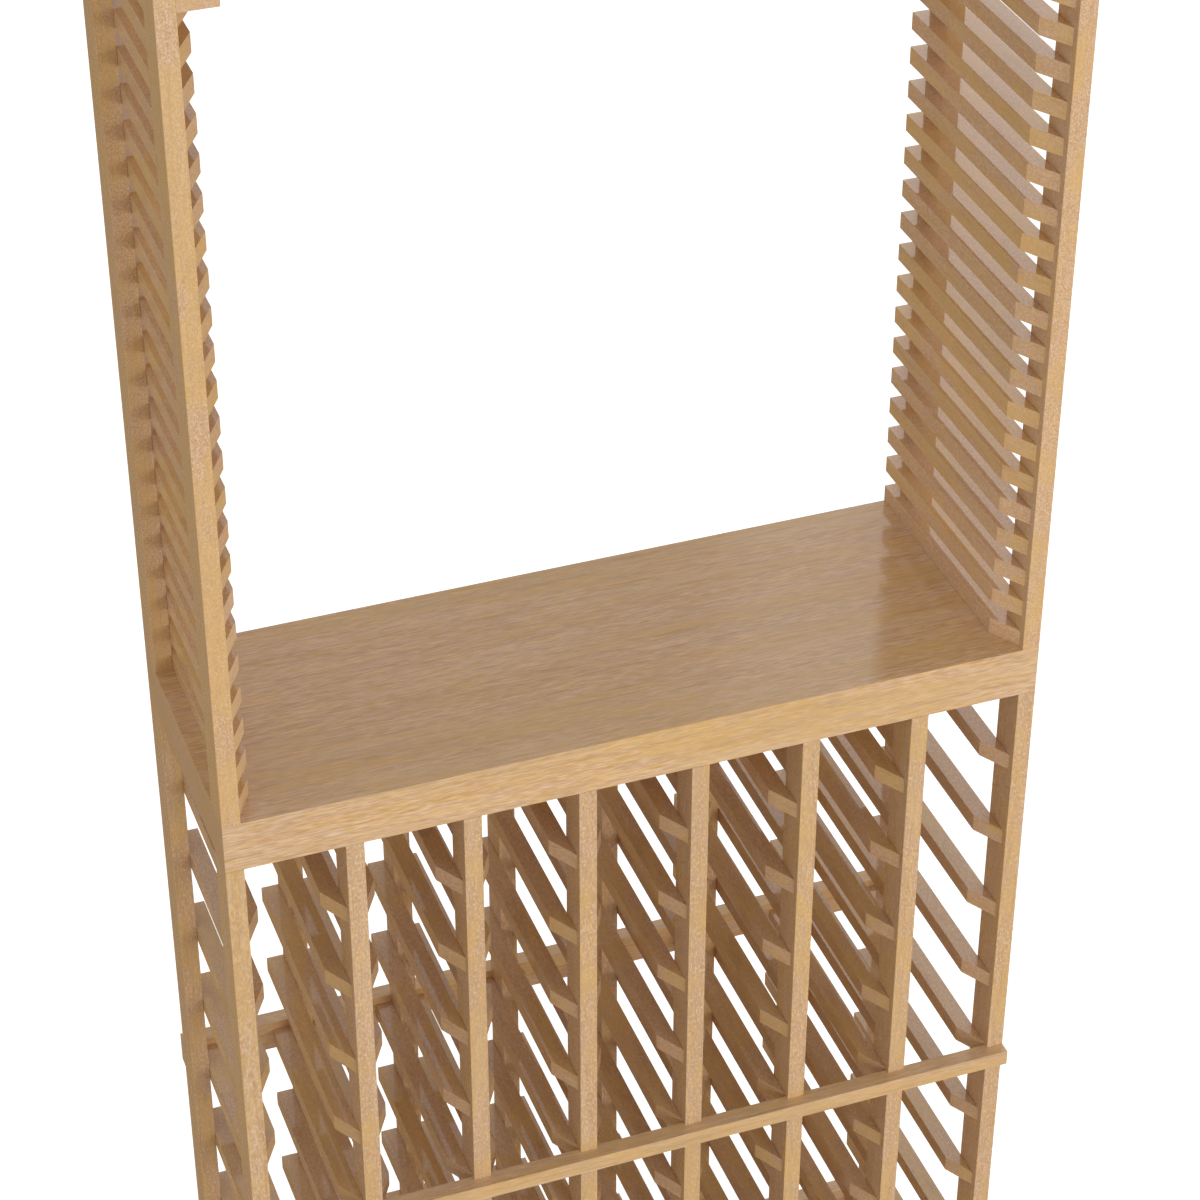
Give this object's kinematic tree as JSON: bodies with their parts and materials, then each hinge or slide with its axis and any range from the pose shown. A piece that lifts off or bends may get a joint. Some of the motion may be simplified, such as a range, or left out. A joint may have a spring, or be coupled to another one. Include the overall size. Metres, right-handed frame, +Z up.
{
  "type": "wine tasting station",
  "caption": "Freestanding timber tasting station: open rack of cells with mitred cradle rails, thick serving counter, slatted side screens and slotted hanging rack.",
  "frame": {"origin": "on the floor, in the middle of the footprint", "axes": "+X to the right along the front, +Y towards the back, +Z up"},
  "size_m": [0.8016, 0.309, 1.8736],
  "materials": {
    "stick_wood": "light tan hardwood, planed, thin satin lacquer",
    "tabletop_wood": "light tan hardwood, sanded, satin to semi-gloss lacquer"
  },
  "bodies": {
    "root": {"front_stile_1": "stick_wood", "back_stile_1": "stick_wood", "front_stile_2": "stick_wood", "back_stile_2": "stick_wood", "front_stile_3": "stick_wood", "back_stile_3": "stick_wood", "front_stile_4": "stick_wood", "back_stile_4": "stick_wood", "front_stile_5": "stick_wood", "back_stile_5": "stick_wood", "front_stile_6": "stick_wood", "back_stile_6": "stick_wood", "front_stile_7": "stick_wood", "back_stile_7": "stick_wood", "front_stile_8": "stick_wood", "back_stile_8": "stick_wood", "cell_rails_1_left": "stick_wood", "cell_rails_1_right": "stick_wood", "cell_rails_2_left": "stick_wood", "cell_rails_2_right": "stick_wood", "cell_rails_3_left": "stick_wood", "cell_rails_3_right": "stick_wood", "cell_rails_4_left": "stick_wood", "cell_rails_4_right": "stick_wood", "cell_rails_5_left": "stick_wood", "cell_rails_5_right": "stick_wood", "cell_rails_6_left": "stick_wood", "cell_rails_6_right": "stick_wood", "cell_rails_7_left": "stick_wood", "cell_rails_7_right": "stick_wood", "front_base_bar": "stick_wood", "front_seam_bar": "stick_wood", "back_base_bar": "stick_wood", "back_seam_bar": "stick_wood", "tabletop": "tabletop_wood", "post_front_left": "stick_wood", "post_front_right": "stick_wood", "post_back_left": "stick_wood", "post_back_right": "stick_wood", "side_slats_left": "stick_wood", "side_slats_right": "stick_wood", "stem_strip_1": "stick_wood", "stem_spacer_1": "stick_wood", "stem_strip_2": "stick_wood", "stem_spacer_2": "stick_wood", "stem_strip_3": "stick_wood", "stem_spacer_3": "stick_wood", "stem_strip_4": "stick_wood", "stem_spacer_4": "stick_wood", "stem_strip_5": "stick_wood", "stem_spacer_5": "stick_wood", "stem_strip_6": "stick_wood", "stem_spacer_6": "stick_wood", "stem_strip_7": "stick_wood", "stem_spacer_7": "stick_wood", "stem_strip_8": "stick_wood", "stem_spacer_8": "stick_wood", "cap_board": "tabletop_wood"}
  },
  "joints": []
}
